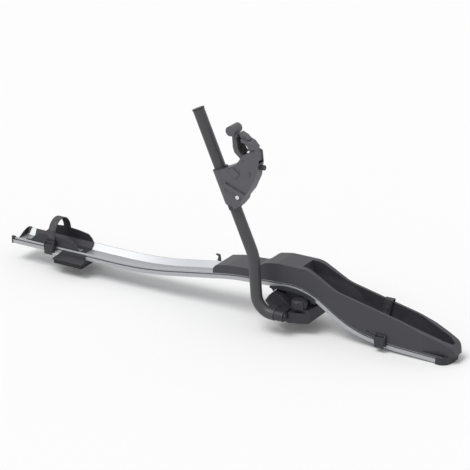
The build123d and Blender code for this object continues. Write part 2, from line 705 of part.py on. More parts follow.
front_base = housing + boss_web + boss
arm_bore_radius = shaft_radius + running_gap
front_base = front_base - rod(arm_bore_radius, (boss_rear_x - cut_overrun, bore_y, arm_axis_height), (1, 0, 0),
                              boss_length + cut_overrun * 2)
retainer_clear = 1.5
retainer_reach = 9.0
front_base = front_base - rod(boss_radius + retainer_clear, (boss_front_x, bore_y, arm_axis_height), (1, 0, 0),
                              retainer_reach)
tube_clear = 3.0
tube_room = rod(arm_diameter / 2 + tube_clear, (boss_rear_x - cut_overrun * 2, bore_y, arm_axis_height),
                (1, 0, 0), cut_overrun * 2)
front_base = front_base - tube_room
pedestal = block(-base_left * 0.42, base_right * 0.8, -pedestal_half, pedestal_half,
                 base_tall * 0.5, base_tall * 1.4)
pedestal_holder = along_rail([(-rail_half, -saddle_thickness), (rail_half, -saddle_thickness),
                              (rail_half, pan_tall), (-rail_half, pan_tall)])
knob_well = rod(knob_radius + seat_gap * 4, (knob_x, knob_y, knob_low - seat_gap * 2), (0, 0, 1), base_tall)
front_base = (front_base + pedestal) - pedestal_holder - knob_well
base_core = block(-base_left * 0.42 + base_wall, base_right * 0.8 - base_wall,
                  -pedestal_half + base_wall, pedestal_half - base_wall,
                  -base_tall * 0.1, base_tall * 0.5 + base_wall * 3)
front_base = front_base - base_core

# saddle between the base and the rail, with a spike at its rear end
cheek_in = rail_half + seat_gap
cheek_out = cheek_in + saddle_cheek_thickness
saddle_band = along_rail(mirrored([(cheek_out, -saddle_thickness), (cheek_out, saddle_cheek_height),
                                   (cheek_in, saddle_cheek_height), (cheek_in, 0)]))
saddle_cut = block(saddle_rear_x, saddle_front_x, -cheek_out, cheek_out, -base_tall, base_tall * 2)
spike_z = rail_underside(saddle_rear_x)
cheek_full_x = saddle_rear_x + saddle_cheek_ramp
cheek_full_z = rail_underside(cheek_full_x) + saddle_cheek_height
saddle_ramp_cut = side_prism([(saddle_rear_x - cut_overrun, spike_z), (saddle_rear_x, spike_z),
                              (cheek_full_x, cheek_full_z), (cheek_full_x, base_tall * 2),
                              (saddle_rear_x - cut_overrun, base_tall * 2)], -cheek_out, cheek_out)
base_saddle = (saddle_band & saddle_cut) - saddle_ramp_cut
for sign in (1, -1):
    y_edge = sign * cheek_out
    y_inner = sign * (cheek_out - saddle_thickness)
    spike = side_prism([(saddle_rear_x, spike_z), (saddle_rear_x + saddle_spike, spike_z - saddle_spike),
                        (saddle_rear_x + saddle_spike * 2, spike_z)],
                       min(y_edge, y_inner), max(y_edge, y_inner)) - along_rail(
                           [(-rail_width, 0), (rail_width, 0), (rail_width, rail_height), (-rail_width, rail_height)])
    base_saddle = base_saddle + spike
base_saddle = base_saddle - (housing - block(-base_left * 0.42, base_right * 0.8, -pedestal_half,
                                             pedestal_half, 0, base_tall * 2))
front_base = front_base - saddle_band

# rubber pad under the base, a clamping bolt for the bar's slot, and the knob
front_base_pad = plan_prism([(-base_left * base_rear_share + pad_edge, -base_near + pad_edge),
                             (base_right - pad_edge, -base_near + pad_edge),
                             (base_right - pad_edge, base_far - pad_edge),
                             (-base_left * base_rear_share + pad_edge, base_far - pad_edge)],
                            0, base_pad_height, pad_edge)
bolt_hole = rod(t_bolt_radius + running_gap * 4, (knob_x, knob_y, -cut_overrun), (0, 0, 1), base_tall * 2)
head_pocket = block(knob_x - t_bolt_head / 2 - seat_gap * 2, knob_x + t_bolt_head / 2 + seat_gap * 2,
                    knob_y - t_bolt_head / 2 - seat_gap * 2, knob_y + t_bolt_head / 2 + seat_gap * 2,
                    -cut_overrun, t_bolt_lift + t_bolt_head_height + seat_gap * 2)
front_base_pad = front_base_pad - head_pocket
front_base = front_base - bolt_hole - head_pocket
washer_height = 1.5
knob_floor = knob_low + washer_height
bolt_top = knob_low + knob_height * 0.6
clamp_knob = dome_rod(knob_radius, (knob_x, knob_y, knob_floor), (0, 0, 1), knob_height - washer_height, knob_dome)
for i in range(knob_flutes):
    turn = 2 * pi * (i + 0.5) / knob_flutes
    flute_place = (knob_x + cos(turn) * (knob_radius + flute_radius * 0.45),
                   knob_y + sin(turn) * (knob_radius + flute_radius * 0.45), 0)
    clamp_knob = clamp_knob - rod(flute_radius, flute_place, (0, 0, 1), base_tall * 2)
clamp_travel = 5.0
clamp_knob = clamp_knob - rod(t_bolt_radius + running_gap, (knob_x, knob_y, 0), (0, 0, 1),
                              bolt_top + clamp_travel + seat_gap * 2)
knob_washer = rod(t_bolt_radius * 2.4, (knob_x, knob_y, knob_low - seat_gap * 2), (0, 0, 1), washer_height)
knob_washer = knob_washer - bolt_hole
front_t_bolt = rod(t_bolt_radius, (knob_x, knob_y, t_bolt_lift), (0, 0, 1), bolt_top - t_bolt_lift)
front_t_bolt = front_t_bolt + block(knob_x - t_bolt_head / 2, knob_x + t_bolt_head / 2,
                                    knob_y - t_bolt_head / 2, knob_y + t_bolt_head / 2,
                                    t_bolt_lift, t_bolt_lift + t_bolt_head_height)

# screws that hold the base to the saddle and the rail
base_screw_radius = 3.0
base_screw_head_radius = 6.0
base_screw_head_height = 3.0
base_screw_shares = ((-0.3, -0.55), (0.355, -0.3), (-0.3, 0.55), (0.355, 0.55))
base_screw_solids = []
for a, b in base_screw_shares:
    x = base_left * a
    y = pedestal_half * b
    top = rail_underside(x) + rail_floor_height
    shelf = base_tall * 0.5 + base_wall * 3
    shank = rod(base_screw_radius, (x, y, shelf), (0, 0, 1), top - shelf)
    head = rod(base_screw_head_radius, (x, y, shelf - base_screw_head_height), (0, 0, 1),
               base_screw_head_height)
    tip = rod(base_screw_head_radius, (x, y, top), (0, 0, 1), base_screw_head_height * 0.6)
    hole = rod(base_screw_radius + running_gap, (x, y, shelf - cut_overrun), (0, 0, 1), base_tall * 2)
    nut_seat = rod(base_screw_head_radius + running_gap, (x, y, top), (0, 0, 1), cut_overrun)
    front_base = front_base - hole
    base_saddle = base_saddle - hole
    rail = rail - hole - nut_seat
    base_screw_solids.append((head + shank + tip).solids()[0])
base_screws = Compound(children=base_screw_solids)

# arm: a bent tube whose lower run is its hinge shaft
arm_wall = 2.0
arm_corner_x = -86.0
arm_knee_x = -97.5
arm_knee_z = 181.0
arm_top_x = -270.0
arm_top_z = 565.0
arm_low_bend = 50.0
arm_knee_bend = 120.0
arm_tube_front = boss_rear_x - seat_gap
arm_points = [(arm_tube_front, -arm_offset, arm_axis_height), (arm_corner_x, -arm_offset, arm_axis_height),
              (arm_knee_x, -arm_offset, arm_knee_z), (arm_top_x, -arm_offset, arm_top_z)]
arm_line = FilletPolyline(*arm_points, radius=[arm_low_bend, arm_knee_bend])
tube_plane = Plane(origin=arm_points[0], z_dir=(-1, 0, 0))
tube_face = tube_plane * (Circle(arm_diameter / 2) - Circle(arm_diameter / 2 - arm_wall))
arm_tube = sweep(tube_face.faces()[0], path=arm_line)

arm_top = Vector(*arm_points[-1])
arm_direction = (arm_top - Vector(*arm_points[-2])).normalized()
arm_across = Vector(arm_direction.Z, 0, -arm_direction.X)


def arm_place(u, v, w):
    # u across the arm to the front, v to the far side, w up the arm from the sleeve's middle
    return sleeve_middle + arm_across * u + Vector(0, v, 0) + arm_direction * w


# cap of the arm's top end: a plug and a flange
arm_cap_flange = 4.0
arm_cap_plug = 14.0
arm_cap_radius = 17.2
arm_cap = dome_rod(arm_cap_radius, arm_top, arm_direction, arm_cap_flange, arm_cap_flange * 0.5)
arm_cap = arm_cap + rod(arm_diameter / 2 - arm_wall, arm_top - arm_direction * arm_cap_plug, arm_direction,
                        arm_cap_plug)

# hinge shaft: a plug in the tube's lower end and a pin through the bearing, with a retaining nut
shaft_plug = 6.0
retainer_thickness = 2.4
retainer_head_height = 4.5
retainer_flats = 15.0
shaft_end_x = boss_front_x + seat_gap
plug_start = (arm_tube_front - shaft_plug, bore_y, arm_axis_height)
arm_shaft = rod(arm_diameter / 2 - arm_wall, plug_start, (1, 0, 0), shaft_plug)
arm_shaft = arm_shaft + rod(shaft_radius, plug_start, (1, 0, 0), shaft_end_x - plug_start[0])
arm_retainer = rod(boss_radius, (shaft_end_x, bore_y, arm_axis_height), (1, 0, 0), retainer_thickness)
arm_retainer = arm_retainer + hexagon_rod(retainer_flats, (shaft_end_x + retainer_thickness, bore_y,
                                                           arm_axis_height), (1, 0, 0), retainer_head_height)

# claw: a liner on the arm, a sleeve round it, and two half shells that carry the jaws
sleeve_middle_z = 365.0
liner_thickness = 2.0
sleeve_wall = 3.5
sleeve_low = -62.0
sleeve_low_rear = -39.0
sleeve_high = 52.0
liner_flange = 2.0
shell_half = 22.0
shell_wall = 3.0
claw_reach = 140.0
claw_rise = 74.0
claw_side_shares = ((0.05, 0.67), (0.21, 0.67), (0.44, 0.69), (0.55, 0.8), (0.66, 0.93), (0.83, 0.98),
                    (0.95, 0.99), (1, 0.89), (0.93, 0.5), (0.77, 0.04), (0.53, -0.35), (0.34, -0.54),
                    (0.28, -0.67), (0.12, -0.83), (0.05, -0.83))
claw_wide_reach = 45.0
claw_thin_half = 12.5
knee = Vector(*arm_points[-2])
sleeve_middle = knee + arm_direction * ((sleeve_middle_z - knee.Z) / arm_direction.Z)
liner_inner = arm_diameter / 2 + running_gap
liner_outer = liner_inner + liner_thickness
sleeve_inner = liner_outer + running_gap
sleeve_outer = sleeve_inner + sleeve_wall


def arm_rod(radius, low, high):
    return rod(radius, arm_place(0, 0, low), arm_direction, high - low)


sleeve_liner = arm_rod(liner_outer, sleeve_low, sleeve_high + seat_gap)
sleeve_liner = sleeve_liner + arm_rod(sleeve_outer, sleeve_high + seat_gap, sleeve_high + seat_gap + liner_flange)
sleeve_liner = sleeve_liner - arm_rod(liner_inner, sleeve_low - cut_overrun, sleeve_high + cut_overrun)


def claw_prism(points, v_from, v_to):
    wire = Wire.make_polygon([arm_place(u, v_from, w) for u, w in points], close=True)
    return Solid.extrude(Face(wire), Vector(0, v_to - v_from, 0))


def claw_rod(radius, u, w, v_from, v_to):
    return rod(radius, arm_place(u, v_from, w), (0, 1, 0), v_to - v_from)


def inset_polygon(points, amount):
    # every side of a closed outline moved to its inside by one amount
    moved = []
    count = len(points)
    area = sum(points[i - 1][0] * points[i][1] - points[i][0] * points[i - 1][1] for i in range(count))
    side = 1 if area > 0 else -1
    for i in range(count):
        here = Vector(*points[i])
        into = (here - Vector(*points[i - 1])).normalized()
        out = (Vector(*points[(i + 1) % count]) - here).normalized()
        bisector = Vector(-into.Y - out.Y, into.X + out.X).normalized() * side
        reach = amount / bisector.dot(Vector(-into.Y, into.X) * side)
        moved.append((here.X + bisector.X * reach, here.Y + bisector.Y * reach))
    return moved


# the sleeve's lower end is cut on the slant, higher at the rear
slant_rise = (sleeve_low_rear - sleeve_low) / 2
slant_cut = claw_prism([(-sleeve_outer * 2, sleeve_low_rear + slant_rise),
                        (sleeve_outer * 2, sleeve_low - slant_rise),
                        (sleeve_outer * 2, sleeve_low * 2), (-sleeve_outer * 2, sleeve_low * 2)],
                       -sleeve_outer * 2, sleeve_outer * 2)
claw_sleeve = arm_rod(sleeve_outer, sleeve_low, sleeve_high) - arm_rod(
    sleeve_inner, sleeve_low - cut_overrun, sleeve_high + cut_overrun) - slant_cut


def in_claw(shares):
    return [(claw_reach * a, claw_rise * b) for a, b in shares]


claw_points = in_claw(claw_side_shares)
claw_inner = inset_polygon(claw_points, shell_wall)
jaw_pivot_u = 88.0
jaw_pivot_w = 56.0
jaw_pin_radius = 4.0
jaw_half = 9.0
mouth_shares = ((0.386, 0.486), (0.936, 0.486), (1.071, 0.892), (1.071, 1.622), (0.386, 1.622))


def claw_wedge(inset):
    # the claw's body in plan: full width at the sleeve, thinner towards its front
    wide = shell_half - inset
    thin = claw_thin_half - inset
    plan = [(0, -wide), (claw_wide_reach, -wide), (claw_reach * 1.1, -thin), (claw_reach * 1.1, thin),
            (claw_wide_reach, wide), (0, wide)]
    low = -claw_rise * 1.5
    wire = Wire.make_polygon([arm_place(u, v, low) for u, v in plan], close=True)
    return Solid.extrude(Face(wire), arm_direction * (claw_rise * 3))


inner_wedge = claw_wedge(shell_wall)
shell_inside = claw_prism(claw_inner, -shell_half, shell_half) & inner_wedge
shell_mouth = claw_prism(in_claw(mouth_shares), -shell_half, shell_half) & inner_wedge
sleeve_clear = arm_rod(sleeve_outer + running_gap, sleeve_low - cut_overrun, sleeve_high + cut_overrun)
half_gap = 0.05


def shell(side):
    v_out = side * shell_half
    v_in = side * half_gap
    body = claw_prism(claw_points, min(v_in, v_out), max(v_in, v_out)) & claw_wedge(0.0)
    return body - shell_inside - shell_mouth - sleeve_clear


claw_near_shell = shell(-1)
claw_far_shell = shell(1)

# rear jaw: a curved finger with a barrel at its tip, on a pin between the shells
rear_jaw_shares = ((0.586, 0.649), (0.55, 0.757), (0.539, 0.892), (0.475, 1.122), (0.486, 1.324),
                   (0.554, 1.676), (0.55, 1.919), (0.679, 1.919), (0.689, 1.676), (0.65, 1.405),
                   (0.614, 1.216), (0.629, 1.054), (0.693, 0.892), (0.693, 0.703), (0.657, 0.622))
tip_u = 85.5
tip_w = 141.0
tip_radius = 13.5
tip_half = 20.5
pad_thickness = 2.4
rear_jaw = claw_prism(in_claw(rear_jaw_shares), -jaw_half, jaw_half)
rear_jaw = rear_jaw + claw_rod(tip_radius, tip_u, tip_w, -tip_half, tip_half)
rear_jaw = rear_jaw - claw_rod(jaw_pin_radius + running_gap, jaw_pivot_u, jaw_pivot_w,
                               -shell_half * 2, shell_half * 2)
pivot_share = (jaw_pivot_u - claw_wide_reach) / (claw_reach * 1.1 - claw_wide_reach)
pin_half_length = shell_half - (shell_half - claw_thin_half) * pivot_share
jaw_pin = claw_rod(jaw_pin_radius, jaw_pivot_u, jaw_pivot_w, -pin_half_length, pin_half_length)
pin_clear = claw_rod(jaw_pin_radius, jaw_pivot_u, jaw_pivot_w, -pin_half_length, pin_half_length)
claw_near_shell = claw_near_shell - pin_clear
claw_far_shell = claw_far_shell - pin_clear
rear_pad_shares = ((0.629, 1.061), (0.61, 1.216), (0.645, 1.403), (0.686, 1.649), (0.703, 1.638),
                   (0.667, 1.392), (0.634, 1.216), (0.644, 1.074))
rear_pad = claw_prism(in_claw(rear_pad_shares), -jaw_half, jaw_half) - rear_jaw

# front jaw: a hooked finger fixed between the shells, with a toothed rubber face
front_jaw_shares = ((0.8, 0.541), (0.811, 0.757), (0.836, 0.946), (0.85, 1.162), (0.811, 1.338), (0.75, 1.405),
                    (0.757, 1.52), (0.821, 1.459), (0.907, 1.297), (0.961, 1), (0.975, 0.811), (0.921, 0.568))
front_root_shares = ((0.714, 0.405), (1.071, 0.405), (1.071, 1.027), (0.714, 1.027))
front_jaw_half = 18.0
front_tip_shares = ((0.757, 1.351), (0.736, 1.595), (0.732, 1.716), (0.757, 1.757), (0.843, 1.581),
                    (0.886, 1.405))
front_tip_half = 10.0
front_root = claw_prism(in_claw(front_root_shares), -shell_half, shell_half)
front_jaw = claw_prism(in_claw(front_jaw_shares), -front_jaw_half, front_jaw_half)
front_jaw = (front_jaw - front_root) + (front_jaw & front_root & claw_wedge(shell_wall + running_gap))
front_jaw = front_jaw + claw_prism(in_claw(front_tip_shares), -front_tip_half, front_tip_half)
tooth_count = 8
tooth_depth = 1.8
pad_back = 1.2
pad_run_shares = ((0.811, 0.764), (0.85, 1.155))
pad_low, pad_high = [Vector(u, w) for u, w in in_claw(pad_run_shares)]
pad_run = (pad_high - pad_low).normalized()
pad_out = Vector(-pad_run.Y, pad_run.X)


def pad_point(share, reach):
    place = pad_low + (pad_high - pad_low) * share + pad_out * reach
    return (place.X, place.Y)


teeth = []
for i in range(tooth_count):
    teeth += [pad_point(i / tooth_count, pad_back), pad_point((i + 0.5) / tooth_count, pad_back + tooth_depth)]
teeth_outline = [pad_point(0, 0)] + teeth + [pad_point(1, pad_back), pad_point(1, 0)]
front_pad = claw_prism(teeth_outline, -jaw_half, jaw_half) - front_jaw

# release button on the claw's front corner
button_u = 125.0
button_w = 24.0
button_radius = 7.0
button_reach = 12.0
button_travel = 4.0
button_end_gap = 1.0
button_length = 24.0
button_shares = (0.94, -0.34)
button_direction = (arm_across * button_shares[0] + arm_direction * button_shares[1]).normalized()
button_start = arm_place(button_u, 0, button_w) - button_direction * (button_length - button_reach)
button_edge = 1.2
release_button = dome_rod(button_radius, button_start, button_direction, button_length, button_edge)
button_clear = rod(button_radius + running_gap, button_start - button_direction * (button_travel + button_end_gap),
                   button_direction, button_length * 2)
claw_near_shell = claw_near_shell - front_jaw
claw_far_shell = claw_far_shell - front_jaw
front_jaw = front_jaw - button_clear
claw_near_shell = claw_near_shell - button_clear
claw_far_shell = claw_far_shell - button_clear

# lock cylinder, sleeve lever and height latch on the near shell
lock_u = 34.1
lock_w = -33.2
lock_radius = 5.5
lock_reach = 2.0
lock_length = 9.0
lock_face_v = -shell_half - lock_reach
lock_cylinder = claw_rod(lock_radius, lock_u, lock_w, lock_face_v, lock_face_v + lock_length)
key_slot_width = 1.0
key_slot_length = 6.4
key_slot_depth = 3.0
slot_u = key_slot_width / 2
slot_w = key_slot_length / 2
key_slot = claw_prism([(lock_u - slot_u, lock_w - slot_w), (lock_u + slot_u, lock_w - slot_w),
                       (lock_u + slot_u, lock_w + slot_w), (lock_u - slot_u, lock_w + slot_w)],
                      lock_face_v - key_slot_depth, lock_face_v + key_slot_depth)
lock_cylinder = lock_cylinder - key_slot
lock_bore = claw_rod(lock_radius + running_gap, lock_u, lock_w, -shell_half * 2,
                     lock_face_v + lock_length + seat_gap)
claw_near_shell = claw_near_shell - lock_bore
claw_sleeve = claw_sleeve - lock_bore

lever_run_shares = ((0.079, 0.108), (0.414, -0.5))
lever_root, lever_tip = [Vector(u, w) for u, w in in_claw(lever_run_shares)]
lever_width = 12.0
lever_gap = 0.4
lever_body = 5.0
lever_run = (lever_tip - lever_root).normalized()
lever_side = Vector(-lever_run.Y, lever_run.X)


def lever_points(start, end, half):
    places = ((start, -half), (end, -half), (end, half), (start, half))
    corners = [lever_root + lever_run * along + lever_side * across for along, across in places]
    return [(c.X, c.Y) for c in corners]


lever_length = (lever_tip - lever_root).length
lever_low = -shell_half - lever_gap
clamp_lever = claw_prism(lever_points(0.0, lever_length, lever_width / 2), lever_low - lever_body, lever_low)
lever_pin_radius = 2.0
lever_lug = 3.0
lug_width = 3.0
knuckle_v = lever_low - lever_body / 2
lever_axis_direction = arm_across * lever_side.X + arm_direction * lever_side.Y
knuckle_place = arm_place(lever_root.X, knuckle_v, lever_root.Y)
clamp_lever = clamp_lever + rod(lever_body / 2, knuckle_place - lever_axis_direction * (lever_width / 2),
                                lever_axis_direction, lever_width)
pin_half = lever_width / 2 + lug_width
lever_bore = rod(lever_pin_radius + running_gap, knuckle_place - lever_axis_direction * pin_half * 2,
                 lever_axis_direction, pin_half * 4)
clamp_lever = clamp_lever - lever_bore
lever_pin = rod(lever_pin_radius, knuckle_place - lever_axis_direction * pin_half, lever_axis_direction,
                pin_half * 2)
for sign in (1, -1):
    inner = sign * (lever_width / 2 + seat_gap)
    outer = sign * (lever_width / 2 + lug_width)
    corners = [lever_root + lever_run * -lever_body / 2 + lever_side * inner,
               lever_root + lever_run * (lever_body / 2) + lever_side * inner,
               lever_root + lever_run * (lever_body / 2) + lever_side * outer,
               lever_root + lever_run * -lever_body / 2 + lever_side * outer]
    lug = claw_prism([(c.X, c.Y) for c in corners], lever_low - lever_body, -shell_half + shell_wall * 0.9)
    claw_near_shell = claw_near_shell + (lug - sleeve_clear)
claw_near_shell = claw_near_shell - lever_pin

latch_shares = ((0.25, 0.64), (0.385, 0.64), (0.475, 0.33), (0.346, 0.24))
latch_height = 3.0
height_latch = claw_prism(in_claw(latch_shares), -shell_half * 2, 0)
height_latch = (height_latch & claw_wedge(-latch_height)) - claw_wedge(-seat_gap)

# screws that join the two shells
shell_screw_shares = ((0.257, 0.405), (0.65, 0.24), (0.357, -0.338))
shell_screw_radius = 2.0
shell_screw_head = 4.0
shell_post = 5.0
screw_solids = []
for u, w in in_claw(shell_screw_shares):
    post_near = claw_rod(shell_post, u, w, -shell_half + shell_wall / 2, -half_gap)
    post_far = claw_rod(shell_post, u, w, half_gap, shell_half - shell_wall / 2)
    shank = claw_rod(shell_screw_radius, u, w, -shell_half + shell_wall, shell_half + shell_wall * 0.4)
    head = claw_rod(shell_screw_head, u, w, shell_half, shell_half + shell_wall * 0.6)
    claw_near_shell = (claw_near_shell + post_near) - shank
    claw_far_shell = (claw_far_shell + post_far) - shank
    screw_solids.append((shank + head).solids()[0])
shell_screws = Compound(children=screw_solids)

pieces = {
    "rail": rail, "rear_end_cap": rear_end_cap, "front_end_cap": front_end_cap,
    "front_wheel_pan": front_wheel_pan, "pan_screws": pan_screws, "pan_catch": pan_tab,
    "front_strap": front_strap, "front_buckle": front_buckle, "front_buckle_lever": front_lever,
    "front_buckle_pin": front_pin, "rear_wheel_tray": rear_wheel_tray, "rear_strap": rear_strap,
    "rear_buckle": rear_buckle, "rear_buckle_lever": rear_lever, "rear_buckle_pin": rear_pin,
    "rear_foot": rear_foot, "rear_foot_pad": rear_foot_pad, "rear_foot_nut": rear_foot_nut,
    "rear_t_bolt": rear_t_bolt, "front_base": front_base, "base_saddle": base_saddle,
    "front_base_pad": front_base_pad, "base_screws": base_screws, "clamp_knob": clamp_knob,
    "knob_washer": knob_washer, "front_t_bolt": front_t_bolt, "arm_tube": arm_tube, "arm_cap": arm_cap,
    "arm_shaft": arm_shaft, "arm_retainer": arm_retainer, "sleeve_liner": sleeve_liner, "claw_sleeve": claw_sleeve,
    "claw_near_shell": claw_near_shell, "claw_far_shell": claw_far_shell, "shell_screws": shell_screws,
    "rear_jaw": rear_jaw, "rear_jaw_pad": rear_pad, "jaw_pin": jaw_pin, "front_jaw": front_jaw,
    "front_jaw_pad": front_pad, "release_button": release_button, "lock_cylinder": lock_cylinder,
    "clamp_lever": clamp_lever, "lever_pin": lever_pin, "height_latch": height_latch,
}
for name, piece in pieces.items():
    save(piece, name)
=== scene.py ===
import json
import math

import bmesh
import bpy
from mathutils import Matrix, Vector


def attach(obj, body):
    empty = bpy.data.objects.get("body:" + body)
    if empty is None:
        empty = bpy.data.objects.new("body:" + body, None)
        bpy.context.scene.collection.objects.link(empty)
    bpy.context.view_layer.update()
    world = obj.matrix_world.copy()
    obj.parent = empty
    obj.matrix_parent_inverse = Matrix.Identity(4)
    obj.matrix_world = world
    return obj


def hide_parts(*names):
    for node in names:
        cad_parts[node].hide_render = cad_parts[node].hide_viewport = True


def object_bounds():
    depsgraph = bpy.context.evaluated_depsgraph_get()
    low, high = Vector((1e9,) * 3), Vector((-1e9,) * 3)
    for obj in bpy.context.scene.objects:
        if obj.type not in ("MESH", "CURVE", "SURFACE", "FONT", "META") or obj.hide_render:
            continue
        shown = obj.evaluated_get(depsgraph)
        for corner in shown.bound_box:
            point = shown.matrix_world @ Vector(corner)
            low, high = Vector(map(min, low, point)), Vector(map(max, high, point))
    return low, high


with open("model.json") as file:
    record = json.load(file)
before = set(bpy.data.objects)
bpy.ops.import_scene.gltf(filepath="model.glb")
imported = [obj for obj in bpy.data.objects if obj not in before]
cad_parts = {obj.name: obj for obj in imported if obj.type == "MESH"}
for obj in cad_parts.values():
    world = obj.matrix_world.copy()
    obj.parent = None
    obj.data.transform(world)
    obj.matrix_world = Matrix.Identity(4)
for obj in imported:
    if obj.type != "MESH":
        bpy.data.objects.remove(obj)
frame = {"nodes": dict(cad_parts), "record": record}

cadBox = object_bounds()
record = frame["record"]
nodes = frame["nodes"]
bodyOf = {name: body for body, names in record["behaviour"]["bodies"].items() for name in names}
slotOf = {part["node"]: part["material_slot"] for part in record["subparts"]}
mm = 0.001


def linear(level):
    # a colour written as 0 to 255 per channel, turned from sRGB to the linear values that shaders take
    return tuple(((c / 255 + 0.055) / 1.055) ** 2.4 if c > 10 else c / 255 / 12.92 for c in level) + (1.0,)


# shader maths: a Flow is one socket, and sums of Flows add Math nodes
class Flow:
    def __init__(self, paint, socket):
        self.paint = paint
        self.socket = socket

    def math(self, operation, first, second):
        return self.paint.node("ShaderNodeMath", {"operation": operation}, {0: first, 1: second})

    def __add__(self, other):
        return self.math("ADD", self, other)

    def __radd__(self, other):
        return self.math("ADD", other, self)

    def __sub__(self, other):
        return self.math("SUBTRACT", self, other)

    def __rsub__(self, other):
        return self.math("SUBTRACT", other, self)

    def __mul__(self, other):
        return self.math("MULTIPLY", self, other)


# detail and roughness of each kind of noise
noiseKinds = {"mottle": (4.0, 0.6), "grain": (3.0, 0.7), "streak": (3.0, 0.6), "hair": (5.0, 0.7),
              "cloud": (3.0, 0.5), "peel": (2.0, 0.5), "bloom": (4.0, 0.65), "pore": (2.0, 0.6),
              "metalGrain": (4.0, 0.7)}
# the level round which a noise varies
middle = 0.5


class Paint:
    # one material and the nodes in it
    def __init__(self, name):
        self.material = bpy.data.materials.new(name)
        self.material.use_nodes = True
        self.tree = self.material.node_tree
        self.tree.nodes.clear()
        self.place = self.node("ShaderNodeTexCoord", pick="Object")

    def node(self, kind, settings=None, sockets=None, pick=0):
        made = self.tree.nodes.new(kind)
        for name, value in (settings or {}).items():
            setattr(made, name, value)
        for name, value in (sockets or {}).items():
            self.feed(made.inputs[name], value)
        return Flow(self, made.outputs[pick])

    def feed(self, socket, value):
        if isinstance(value, Flow):
            self.tree.links.new(value.socket, socket)
        else:
            socket.default_value = value

    def stretched(self, along):
        return self.node("ShaderNodeVectorMath", {"operation": "MULTIPLY"}, {0: self.place, 1: along})

    def noise(self, kind, scale, where=None):
        detail, rough = noiseKinds[kind]
        return self.node("ShaderNodeTexNoise", {}, {"Vector": where or self.place, "Scale": scale,
                                                    "Detail": detail, "Roughness": rough})

    def between(self, value, low, high):
        # 0 below low, 1 above high
        return self.node("ShaderNodeMapRange", {"interpolation_type": "SMOOTHSTEP"},
                         {"Value": value, "From Min": low, "From Max": high, "To Min": 0.0, "To Max": 1.0})

    def mix(self, share, first, second):
        return self.node("ShaderNodeMix", {"data_type": "RGBA"}, {0: share, 6: first, 7: second}, pick=2)

    def bump(self, height, depth, strength):
        return self.node("ShaderNodeBump", {}, {"Height": height, "Distance": depth, "Strength": strength})

    def finish(self, varied, fixed):
        shader = self.node("ShaderNodeBsdfPrincipled", {}, {**varied, **fixed})
        out = self.tree.nodes.new("ShaderNodeOutputMaterial")
        self.tree.links.new(shader.socket, out.inputs["Surface"])
        return self.material


def shade(level, share):
    # a tone made darker or paler by a share
    return linear([min(255, c * share) for c in level])


def mouldedPlastic(name, look):
    # injection moulded plastic: fine spark grain, slow mottling, a few pale scuffs
    paint = Paint(name)
    mottle = paint.noise("mottle", look["mottleScale"])
    grain = paint.noise("grain", look["grainScale"])
    streak = paint.noise("streak", 1.0, paint.stretched(look["scuffScale"]))
    scuff = paint.between(streak, *look["scuffEdge"]) * look["scuff"]
    base = paint.mix(mottle, shade(look["tone"], 1 - look["mottle"]), shade(look["tone"], 1 + look["mottle"]))
    specks = paint.between(grain, *look["speckEdge"]) * look["speckle"]
    speckled = paint.mix(specks, base, shade(look["tone"], look["speckTone"]))
    worn = paint.mix(scuff, speckled, shade(look["tone"], look["scuffTone"]))
    gloss = look["roughness"] + (mottle - middle) * look["roughSpread"] + scuff * look["scuffRough"]
    normal = paint.bump(grain, look["grainDepth"], look["grainStrength"])
    return paint.finish({"Base Color": worn, "Roughness": gloss, "Normal": normal},
                        {"Specular IOR Level": look["specular"]})


def anodisedMetal(name, look):
    # drawn aluminium: hair lines along the rail under a satin oxide, a little cloudiness
    paint = Paint(name)
    hair = paint.noise("hair", 1.0, paint.stretched(look["hairScale"]))
    cloud = paint.noise("cloud", look["cloudScale"])
    base = paint.mix(cloud, shade(look["tone"], 1 - look["cloud"]), shade(look["tone"], 1 + look["cloud"]))
    lines = paint.between(hair, *look["hairEdge"]) * look["hair"]
    lined = paint.mix(lines, base, shade(look["tone"], look["hairTone"]))
    gloss = look["roughness"] + (hair - middle) * look["roughSpread"]
    normal = paint.bump(hair, look["hairDepth"], look["hairStrength"])
    return paint.finish({"Base Color": lined, "Roughness": gloss, "Normal": normal},
                        {"Metallic": look["metallic"]})


def powderCoat(name, look):
    # baked coat on steel tube: orange peel, tiny flakes
    paint = Paint(name)
    peel = paint.noise("peel", look["peelScale"])
    flake = paint.node("ShaderNodeTexVoronoi", {}, {"Vector": paint.place, "Scale": look["flakeScale"]})
    cloud = paint.noise("cloud", look["cloudScale"])
    base = paint.mix(cloud, *[shade(look["tone"], share) for share in look["cloudTone"]])
    flakes = (1 - paint.between(flake, 0.0, look["flakeEdge"])) * look["flake"]
    flaked = paint.mix(flakes, base, shade(look["tone"], look["flakeTone"]))
    gloss = look["roughness"] + (peel - middle) * look["roughSpread"]
    normal = paint.bump(peel, look["peelDepth"], look["peelStrength"])
    return paint.finish({"Base Color": flaked, "Roughness": gloss, "Normal": normal},
                        {"Specular IOR Level": look["specular"]})


def plainRubber(name, look):
    # cured rubber: a pale bloom in patches over small pores
    paint = Paint(name)
    bloom = paint.noise("bloom", look["bloomScale"])
    pores = paint.noise("pore", look["poreScale"])
    patches = paint.between(bloom, *look["bloomEdge"])
    base = paint.mix(patches, *[shade(look["tone"], share) for share in look["bloomTone"]])
    normal = paint.bump(pores, look["poreDepth"], look["poreStrength"])
    gloss = look["roughness"] + (bloom - middle) * look["roughSpread"]
    return paint.finish({"Base Color": base, "Roughness": gloss, "Normal": normal},
                        {"Specular IOR Level": look["specular"]})


